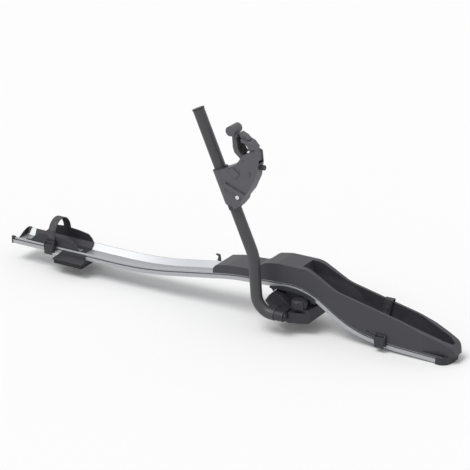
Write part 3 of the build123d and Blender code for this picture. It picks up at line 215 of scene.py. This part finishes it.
def platedSteel(name, look):
    # plated steel: a fine grain and a slow change of tone
    paint = Paint(name)
    grainy = paint.noise("metalGrain", look["grainScale"])
    cloud = paint.noise("cloud", look["cloudScale"])
    base = paint.mix(cloud, *[shade(look["tone"], share) for share in look["cloudTone"]])
    gloss = look["roughness"] + (grainy - middle) * look["roughSpread"]
    normal = paint.bump(grainy, look["grainDepth"], look["grainStrength"])
    return paint.finish({"Base Color": base, "Roughness": gloss, "Normal": normal}, {"Metallic": 1.0})


panLook = {"tone": (58, 58, 64), "mottle": 0.05, "mottleScale": 16.0, "grainScale": 1500.0, "speckle": 0.10,
           "grainDepth": 0.0004, "grainStrength": 0.12, "roughness": 0.5, "roughSpread": 0.08, "scuff": 0.10,
           "scuffScale": (40.0, 260.0, 420.0), "scuffEdge": (0.62, 0.8), "scuffTone": 2.1, "scuffRough": 0.25,
           "speckEdge": (0.35, 0.75), "speckTone": 1.6, "specular": 0.42}
trayLook = {**panLook, "tone": (46, 46, 51), "mottleScale": 30.0, "grainScale": 1900.0}
capLook = {**panLook, "tone": (44, 44, 48), "mottleScale": 40.0, "grainScale": 2200.0, "scuff": 0.06}
clawLook = {**panLook, "tone": (82, 82, 87), "mottleScale": 35.0, "grainScale": 2400.0, "speckle": 0.14}
railLook = {"tone": (180, 182, 186), "cloud": 0.03, "cloudScale": 9.0, "hair": 0.35,
            "hairScale": (12.0, 1600.0, 1600.0), "hairEdge": (0.3, 0.75), "hairTone": 0.82,
            "hairDepth": 0.0002, "hairStrength": 0.1, "roughness": 0.42, "roughSpread": 0.12, "metallic": 0.8}
armLook = {"tone": (62, 62, 65), "peelScale": 700.0, "flakeScale": 2600.0, "cloudScale": 14.0, "flake": 0.16,
           "peelDepth": 0.0004, "peelStrength": 0.16, "roughness": 0.42, "roughSpread": 0.1, "specular": 0.5,
           "cloudTone": (0.92, 1.08), "flakeEdge": 0.3, "flakeTone": 1.7}
strapLook = {"tone": (66, 66, 69), "bloomScale": 60.0, "poreScale": 2600.0, "poreDepth": 0.0002,
             "poreStrength": 0.5, "bloomEdge": (0.35, 0.8), "bloomTone": (0.85, 1.35), "roughness": 0.6,
             "roughSpread": 0.12, "specular": 0.35}
padLook = {**strapLook, "tone": (34, 34, 36), "bloomScale": 45.0, "poreScale": 1800.0, "poreDepth": 0.0003,
           "roughness": 0.72}
boltLook = {"tone": (190, 190, 192), "grainScale": 1400.0, "cloudScale": 120.0, "cloudTone": (0.9, 1.06),
            "grainDepth": 0.0001, "grainStrength": 0.4, "roughness": 0.34, "roughSpread": 0.14}
lockLook = {**boltLook, "tone": (235, 235, 238), "grainScale": 900.0, "cloudScale": 60.0,
            "grainDepth": 0.00004, "roughness": 0.14, "roughSpread": 0.05}

finishes = {
    "rail_aluminium": anodisedMetal("railAluminium", railLook),
    "pan_plastic": mouldedPlastic("panPlastic", panLook),
    "tray_plastic": mouldedPlastic("trayPlastic", trayLook),
    "cap_plastic": mouldedPlastic("capPlastic", capLook),
    "claw_plastic": mouldedPlastic("clawPlastic", clawLook),
    "arm_steel": powderCoat("armCoat", armLook),
    "strap_rubber": plainRubber("strapRubber", strapLook),
    "pad_rubber": plainRubber("padRubber", padLook),
    "bolt_steel": platedSteel("boltZinc", boltLook),
    "lock_chrome": platedSteel("lockChrome", lockLook),
}
print("stage: finishes", len(finishes))


# camera, light and floor
cameraLook = {"from": (3.0801, -5.3820, 2.7326), "to": (-0.2180, 0.0, 0.1824), "lens": 191.5,
              "sensor": 36.0, "farthest": 60.0}
lightLook = {"sky": 0.58, "sun": 1.55, "sunSoftness": 0.6, "sunFrom": (-0.35, -0.55, 1.25)}
floorLook = {"level": 0.965, "reach": 30.0, "roughness": 0.9, "specular": 0.1}


def addCamera(look):
    eye = bpy.data.objects.new("photoCamera", bpy.data.cameras.new("photoCamera"))
    bpy.context.scene.collection.objects.link(eye)
    eye.data.lens = look["lens"]
    eye.data.sensor_width = look["sensor"]
    eye.data.clip_end = look["farthest"]
    eye.location = look["from"]
    eye.rotation_mode = "QUATERNION"
    eye.rotation_quaternion = (Vector(look["to"]) - Vector(look["from"])).to_track_quat("-Z", "Y")
    bpy.context.scene.camera = eye


def addLight(look):
    # camera, glossy and transmission rays see white, and the rest the weaker sky that lights the object
    world = bpy.data.worlds.new("studio")
    bpy.context.scene.world = world
    world.use_nodes = True
    tree = world.node_tree
    tree.nodes.clear()
    seen = tree.nodes.new("ShaderNodeLightPath")
    either = tree.nodes.new("ShaderNodeMath")
    either.operation = "MAXIMUM"
    tree.links.new(seen.outputs["Is Camera Ray"], either.inputs[0])
    tree.links.new(seen.outputs["Is Glossy Ray"], either.inputs[1])
    orThrough = tree.nodes.new("ShaderNodeMath")
    orThrough.operation = "MAXIMUM"
    tree.links.new(either.outputs[0], orThrough.inputs[0])
    tree.links.new(seen.outputs["Is Transmission Ray"], orThrough.inputs[1])
    lit = tree.nodes.new("ShaderNodeBackground")
    lit.inputs["Strength"].default_value = look["sky"]
    shown = tree.nodes.new("ShaderNodeBackground")
    shown.inputs["Strength"].default_value = 1.0
    for back in (lit, shown):
        back.inputs["Color"].default_value = (1, 1, 1, 1)
    blend = tree.nodes.new("ShaderNodeMixShader")
    tree.links.new(orThrough.outputs[0], blend.inputs[0])
    tree.links.new(lit.outputs[0], blend.inputs[1])
    tree.links.new(shown.outputs[0], blend.inputs[2])
    out = tree.nodes.new("ShaderNodeOutputWorld")
    tree.links.new(blend.outputs[0], out.inputs["Surface"])
    sun = bpy.data.objects.new("softSun", bpy.data.lights.new("softSun", "SUN"))
    bpy.context.scene.collection.objects.link(sun)
    sun.data.energy = look["sun"]
    sun.data.angle = look["sunSoftness"]
    sun.rotation_mode = "QUATERNION"
    sun.rotation_quaternion = (-Vector(look["sunFrom"])).to_track_quat("-Z", "Y")


def addFloor(look):
    reach = look["reach"]
    low = cadBox[0].z
    corners = [(-reach, -reach, low), (reach, -reach, low), (reach, reach, low), (-reach, reach, low)]
    mesh = bpy.data.meshes.new("studioFloor")
    mesh.from_pydata(corners, [], [(0, 1, 2, 3)])
    floor = bpy.data.objects.new("studioFloor", mesh)
    bpy.context.scene.collection.objects.link(floor)
    paint = Paint("studioFloor")
    mesh.materials.append(paint.finish({}, {"Base Color": (look["level"],) * 3 + (1.0,),
                                            "Roughness": look["roughness"],
                                            "Specular IOR Level": look["specular"]}))


addCamera(cameraLook)
addLight(lightLook)
addFloor(floorLook)
bpy.context.scene.view_settings.view_transform = "Standard"
print("stage: camera, light and floor")


# distances within which doubled points are merged, and the turn at which a rounded piece's shading breaks
weld = 0.004 * mm
fineWeld = 0.002 * mm
sharpTurn = 58.0


def settle(piece, nodeName):
    # the piece takes its node's finish and body, and stands in for it
    piece.data.materials.clear()
    piece.data.materials.append(finishes[slotOf[nodeName]])
    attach(piece, bodyOf[nodeName])
    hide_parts(nodeName)


def smoothed(piece, angle):
    # soft shading, broken where the surface turns by more than the angle
    for face in piece.data.polygons:
        face.use_smooth = True
    piece.data.set_sharp_from_angle(angle=math.radians(angle))


def applied(piece):
    # works the piece's modifiers into a plain mesh
    seen = piece.evaluated_get(bpy.context.evaluated_depsgraph_get())
    mesh = bpy.data.meshes.new_from_object(seen, preserve_all_data_layers=True,
                                           depsgraph=bpy.context.evaluated_depsgraph_get())
    piece.modifiers.clear()
    piece.data = mesh


def mergedCopy(nodeName, pieceName):
    # a copy of a node with its doubled points merged
    work = bmesh.new()
    work.from_mesh(nodes[nodeName].data)
    bmesh.ops.remove_doubles(work, verts=work.verts, dist=weld)
    mesh = bpy.data.meshes.new(pieceName)
    work.to_mesh(mesh)
    work.free()
    piece = bpy.data.objects.new(pieceName, mesh)
    bpy.context.scene.collection.objects.link(piece)
    return piece


def rolled(nodeName, pieceName, look):
    # a copy of a moulded node with its sharp edges rolled over
    piece = mergedCopy(nodeName, pieceName)
    bevel = piece.modifiers.new("roll", "BEVEL")
    bevel.width = look["width"] * mm
    bevel.segments = look["steps"]
    bevel.limit_method = "ANGLE"
    bevel.angle_limit = math.radians(look["angle"])
    bevel.use_clamp_overlap = True
    bevel.miter_outer = "MITER_ARC"
    level = piece.modifiers.new("level", "WEIGHTED_NORMAL")
    level.keep_sharp = True
    smoothed(piece, sharpTurn)
    applied(piece)
    settle(piece, nodeName)


def sweepTree():
    # one node tree carries a section along a path and sets small ribs on it at an even pitch
    tree = bpy.data.node_groups.new("pathSweep", "GeometryNodeTree")
    face = tree.interface
    face.new_socket("Geometry", in_out="INPUT", socket_type="NodeSocketGeometry")
    for label, kind in (("Section", "NodeSocketObject"), ("Rib Pitch", "NodeSocketFloat"),
                        ("Rib Size", "NodeSocketVector"), ("Rib Offset", "NodeSocketVector"),
                        ("Finish", "NodeSocketMaterial")):
        face.new_socket(label, in_out="INPUT", socket_type=kind)
    face.new_socket("Geometry", in_out="OUTPUT", socket_type="NodeSocketGeometry")

    def add(kind, settings=None, links=None):
        made = tree.nodes.new(kind)
        for name, value in (settings or {}).items():
            setattr(made, name, value)
        for name, source in (links or {}).items():
            if hasattr(source, "is_output"):
                tree.links.new(source, made.inputs[name])
            else:
                made.inputs[name].default_value = source
        return made

    given = add("NodeGroupInput").outputs
    run = add("GeometryNodeMeshToCurve", {}, {"Mesh": given["Geometry"]}).outputs["Curve"]
    held = add("GeometryNodeObjectInfo", {"transform_space": "ORIGINAL"}, {"Object": given["Section"]})
    ring = add("GeometryNodeMeshToCurve", {}, {"Mesh": held.outputs["Geometry"]}).outputs["Curve"]
    skin = add("GeometryNodeCurveToMesh", {}, {"Curve": run, "Profile Curve": ring, "Fill Caps": True})
    marks = add("GeometryNodeCurveToPoints", {"mode": "LENGTH"}, {"Curve": run, "Length": given["Rib Pitch"]})
    rib = add("GeometryNodeMeshCube", {}, {"Size": given["Rib Size"]}).outputs["Mesh"]
    moved = add("GeometryNodeTransform", {}, {"Geometry": rib, "Translation": given["Rib Offset"]})
    ribs = add("GeometryNodeInstanceOnPoints", {}, {"Points": marks.outputs["Points"],
                                                    "Instance": moved.outputs["Geometry"],
                                                    "Rotation": marks.outputs["Rotation"]})
    whole = add("GeometryNodeJoinGeometry")
    tree.links.new(ribs.outputs["Instances"], whole.inputs["Geometry"])
    tree.links.new(skin.outputs["Mesh"], whole.inputs["Geometry"])
    real = add("GeometryNodeRealizeInstances", {}, {"Geometry": whole.outputs["Geometry"]})
    done = add("GeometryNodeSetMaterial", {}, {"Geometry": real.outputs["Geometry"],
                                               "Material": given["Finish"]})
    tree.links.new(done.outputs["Geometry"], add("NodeGroupOutput").inputs["Geometry"])
    return tree


pathSweep = sweepTree()


def wireObject(name, points, closed):
    # a chain of edges, for the node tree to read as a curve
    count = len(points)
    edges = [(i, i + 1) for i in range(count - 1)]
    if closed:
        edges.append((count - 1, 0))
    mesh = bpy.data.meshes.new(name)
    mesh.from_pydata([tuple(p) for p in points], edges, [])
    made = bpy.data.objects.new(name, mesh)
    bpy.context.scene.collection.objects.link(made)
    return made


def swept(pieceName, nodeName, points, section, look):
    # a piece made by the node tree: points in metres, and the section in mm as (across, out) of the path
    piece = wireObject(pieceName, points, False)
    ring = wireObject(pieceName + "Section", [(a * mm, b * mm, 0.0) for a, b in section], True)
    carry = piece.modifiers.new("carry", "NODES")
    carry.node_group = pathSweep
    ids = {item.name: item.identifier for item in pathSweep.interface.items_tree if item.in_out == "INPUT"}
    carry[ids["Section"]] = ring
    carry[ids["Rib Pitch"]] = look["pitch"] * mm
    carry[ids["Rib Size"]] = [c * mm for c in look["rib"]]
    carry[ids["Rib Offset"]] = [c * mm for c in look["ribAt"]]
    carry[ids["Finish"]] = finishes[slotOf[nodeName]]
    applied(piece)
    work = bmesh.new()
    work.from_mesh(piece.data)
    bmesh.ops.remove_doubles(work, verts=work.verts, dist=fineWeld)
    bmesh.ops.recalc_face_normals(work, faces=work.faces)
    work.to_mesh(piece.data)
    work.free()
    bpy.data.objects.remove(ring)
    smoothed(piece, look["sharp"])
    settle(piece, nodeName)


def roundedPath(corners, radii, steps):
    # straight runs joined by arcs
    path = [Vector(corners[0])]
    for before, here, after, radius in zip(corners, corners[1:], corners[2:], radii):
        into = (Vector(here) - Vector(before)).normalized()
        out = (Vector(after) - Vector(here)).normalized()
        half = into.angle(out) / 2
        reach = radius * math.tan(half)
        centre = Vector(here) + (out - into).normalized() * (radius / math.cos(half))
        start = Vector(here) - into * reach - centre
        axis = into.cross(out).normalized()
        for i in range(steps + 1):
            path.append(centre + Matrix.Rotation(2 * half * i / steps, 3, axis) @ start)
    path.append(Vector(corners[-1]))
    return path


# pieces in each turned corner of a section, and the half angle in radians under which none is turned
ringSteps = 4
leastTurn = 0.01


def roundedRing(corners, radii):
    # a closed outline of (a, b) with each corner turned on its own radius
    ring = []
    count = len(corners)
    for i, here in enumerate(corners):
        here = Vector(here)
        into = (here - Vector(corners[i - 1])).normalized()
        out = (Vector(corners[(i + 1) % count]) - here).normalized()
        radius = radii[i]
        half = into.angle(out) / 2
        if radius <= 0 or half < leastTurn:
            ring.append(tuple(here))
            continue
        start = here - into * radius * math.tan(half)
        end = here + out * radius * math.tan(half)
        for j in range(ringSteps + 1):
            t = j / ringSteps
            ring.append(tuple(start * (1 - t) ** 2 + here * 2 * t * (1 - t) + end * t ** 2))
    return ring


# the rail: one section with side grooves carried along the bowed line
railRun = {"corners": ((-940.0, 21.0), (-491.62, 21.0), (-200.22, 70.77), (23.32, 84.0), (166.76, -5.46),
                       (285.56, -24.36), (440.0, -28.77)),
           "radii": (1200.0, 600.0, 170.0, 290.0, 500.0), "steps": 14}
# half of the section: across, up and corner radius in mm
railHalfSection = ((42.5, 0.0, 0.6), (42.5, 11.0, 0.5), (36.5, 11.0, 0.0), (36.5, 14.5, 0.0),
                   (42.5, 14.5, 0.5), (42.5, 20.0, 1.0), (39.5, 20.0, 1.2), (25.0, 4.0, 2.5))
railCorners = list(railHalfSection) + [(-y, z, r) for y, z, r in reversed(railHalfSection)]
railSection = roundedRing([(y, -z) for y, z, r in railCorners], [r for y, z, r in railCorners])
railPath = roundedPath([(x * mm, 0.0, z * mm) for x, z in railRun["corners"]],
                       [r * mm for r in railRun["radii"]], railRun["steps"])
# the pitch is longer than the rail, so only one small block is set, where the path starts
railSweep = {"pitch": 5000.0, "rib": (1.0, 1.0, 1.0), "ribAt": (0.0, 0.0, 0.0), "sharp": 24}
swept("railBar", "rail", railPath, railSection, railSweep)

# the hoop over the rear wheel: a full arch on two short upright ends
hoopRun = {"x": -805.0, "half": 40.6, "low": 45.0, "straight": 12.0, "apex": 112.6, "fullness": 0.92,
           "steps": 40}
hoopSweep = {"width": 24.0, "thickness": 2.8, "lip": 3.6, "pitch": 3.6, "rib": (15.6, 1.5, 1.7),
             "ribAt": (0.0, 0.6, 0.0), "sharp": 40}
# depth of the recess between a strap's lips, and each corner's radius from the lower left round
strapRecess = 0.7
strapEdges = (0.7, 0.7, 0.6, 0.5, 0.0, 0.0, 0.5, 0.6)


def hoopPath(run):
    spring = run["low"] + run["straight"]
    rise = run["apex"] - spring
    flat = [(-run["half"], run["low"]), (-run["half"], spring)]
    for i in range(1, run["steps"]):
        turn = math.pi * i / run["steps"]
        share = math.copysign(abs(math.cos(turn)) ** run["fullness"], math.cos(turn))
        flat.append((-run["half"] * share, spring + rise * math.sin(turn) ** run["fullness"]))
    flat += [(run["half"], spring), (run["half"], run["low"])]
    return [Vector((run["x"], y, z)) * mm for y, z in flat]


def strapSection(look):
    # a flat band with a raised lip along each long edge
    half = look["width"] / 2
    deep = look["thickness"] / 2
    inner = half - look["lip"]
    low = deep - strapRecess
    return roundedRing([(-half, -deep), (half, -deep), (half, deep), (inner, deep), (inner, low),
                        (-inner, low), (-inner, deep), (-half, deep)], strapEdges)


swept("hoopStrap", "rear_strap", hoopPath(hoopRun), strapSection(hoopSweep), hoopSweep)

# the front strap: from the near slot across the channel, up its far wall and over the rim
strapRun = {"x": 224.4, "pivot": -14.63, "lean": 10.09,
            "line": ((-44.5, 13.9), (21.4, 13.9), (33.9, 49.6), (33.9, 85.9), (45.8, 85.9), (45.8, 74.64)),
            "radii": (9.0, 30.0, 3.6, 3.6), "steps": 6}
strapSweep = {"width": 26.0, "thickness": 2.6, "lip": 3.8, "pitch": 3.6, "rib": (17.0, 1.4, 1.7),
              "ribAt": (0.0, 0.6, 0.0), "sharp": 40}


def strapPath(run):
    flat = roundedPath([(run["x"] * mm, y * mm, z * mm) for y, z in run["line"]],
                       [r * mm for r in run["radii"]], run["steps"])
    pivot = Vector((run["x"] * mm, 0.0, run["pivot"] * mm))
    lean = Matrix.Rotation(math.radians(run["lean"]), 3, "Y")
    return [pivot + lean @ (p - pivot) for p in flat]


swept("panStrap", "front_strap", strapPath(strapRun), strapSection(strapSweep), strapSweep)

# the sleeve's middle and the claw's two directions, as the claw stands at rest
sleeveMiddle = Vector((-180.156, -100.0, 365.0))
acrossArm = Vector((0.912188, 0.0, 0.409772))
alongArm = Vector((-0.409772, 0.0, 0.912188))


def clawPoint(u, w):
    # u across the arm and w along it from the sleeve's middle, in the claw's middle plane
    return (sleeveMiddle + acrossArm * u + alongArm * w) * mm


# the rear finger's rubber: a wide ribbed face on the side that meets the frame tube
fingerFace = {"line": ((93.6, 74.5), (89.6, 81.0), (88.4, 91.0), (92.6, 105.0), (96.6, 119.0)),
              "radii": (12.0, 14.0, 20.0), "steps": 5, "width": 34.0, "thickness": 4.2, "edge": 1.4,
              "pitch": 4.6, "rib": (31.0, 5.6, 1.9), "ribAt": (0.0, 0.0, 0.0), "sharp": 40}
facePath = roundedPath([clawPoint(u, w) for u, w in fingerFace["line"]],
                       [r * mm for r in fingerFace["radii"]], fingerFace["steps"])
faceHalf = fingerFace["width"] / 2
faceDeep = fingerFace["thickness"] / 2
faceCorners = [(-faceHalf, -faceDeep), (faceHalf, -faceDeep), (faceHalf, faceDeep), (-faceHalf, faceDeep)]
faceSection = roundedRing(faceCorners, [fingerFace["edge"]] * len(faceCorners))
swept("rearFingerRubber", "rear_jaw_pad", facePath, faceSection, fingerFace)
print("stage: swept pieces")

# the rounded pieces: name, width of the round in mm, steps in it, least turn of a rounded edge in degrees
rolls = {
    "front_wheel_pan": ("panBody", {"width": 3.4, "steps": 3, "angle": 32}),
    "front_end_cap": ("noseCap", {"width": 1.6, "steps": 3, "angle": 32}),
    "rear_end_cap": ("tailCap", {"width": 0.7, "steps": 2, "angle": 32}),
    "pan_catch": ("panCatch", {"width": 0.9, "steps": 2, "angle": 25}),
    "rear_wheel_tray": ("trayBody", {"width": 0.9, "steps": 2, "angle": 25}),
    "rear_buckle": ("rearBuckleBody", {"width": 0.9, "steps": 2, "angle": 25}),
    "front_buckle": ("frontBuckleBody", {"width": 0.9, "steps": 2, "angle": 25}),
    "rear_buckle_lever": ("rearBuckleBlade", {"width": 0.8, "steps": 2, "angle": 30}),
    "front_buckle_lever": ("frontBuckleBlade", {"width": 0.8, "steps": 2, "angle": 30}),
    "rear_foot": ("rearFootBody", {"width": 1.8, "steps": 3, "angle": 20}),
    "rear_foot_pad": ("rearFootRubber", {"width": 1.6, "steps": 3, "angle": 40}),
    "front_base": ("baseHousing", {"width": 1.5, "steps": 3, "angle": 28}),
    "base_saddle": ("baseSaddleBand", {"width": 1.0, "steps": 2, "angle": 30}),
    "front_base_pad": ("baseRubber", {"width": 1.2, "steps": 2, "angle": 40}),
    "clamp_knob": ("knobBody", {"width": 0.8, "steps": 2, "angle": 35}),
    "claw_near_shell": ("clawNearHalf", {"width": 1.7, "steps": 3, "angle": 22}),
    "claw_far_shell": ("clawFarHalf", {"width": 1.7, "steps": 3, "angle": 22}),
    "claw_sleeve": ("clawCollar", {"width": 0.8, "steps": 2, "angle": 40}),
    "rear_jaw": ("rearFingerBody", {"width": 2.6, "steps": 3, "angle": 14}),
    "front_jaw": ("frontFingerBody", {"width": 2.2, "steps": 3, "angle": 14}),
    "front_jaw_pad": ("frontFingerRubber", {"width": 0.35, "steps": 2, "angle": 30}),
    "clamp_lever": ("sleeveLeverBody", {"width": 1.9, "steps": 3, "angle": 30}),
    "height_latch": ("latchBlade", {"width": 0.9, "steps": 2, "angle": 25}),
    "lock_cylinder": ("lockBarrel", {"width": 0.3, "steps": 2, "angle": 35}),
    "release_button": ("buttonBody", {"width": 0.5, "steps": 2, "angle": 35}),
}
for nodeName, (pieceName, look) in rolls.items():
    rolled(nodeName, pieceName, look)
print("stage: rolled pieces", len(rolls))

# each CAD node takes its slot's finish, but the shaft, its retainer and the jaw pin are dark as the arm
darkSteel = ("arm_retainer", "arm_shaft", "jaw_pin")
for nodeName, node in nodes.items():
    node.data.materials.clear()
    node.data.materials.append(finishes["arm_steel" if nodeName in darkSteel else slotOf[nodeName]])
print("stage: CAD finishes")
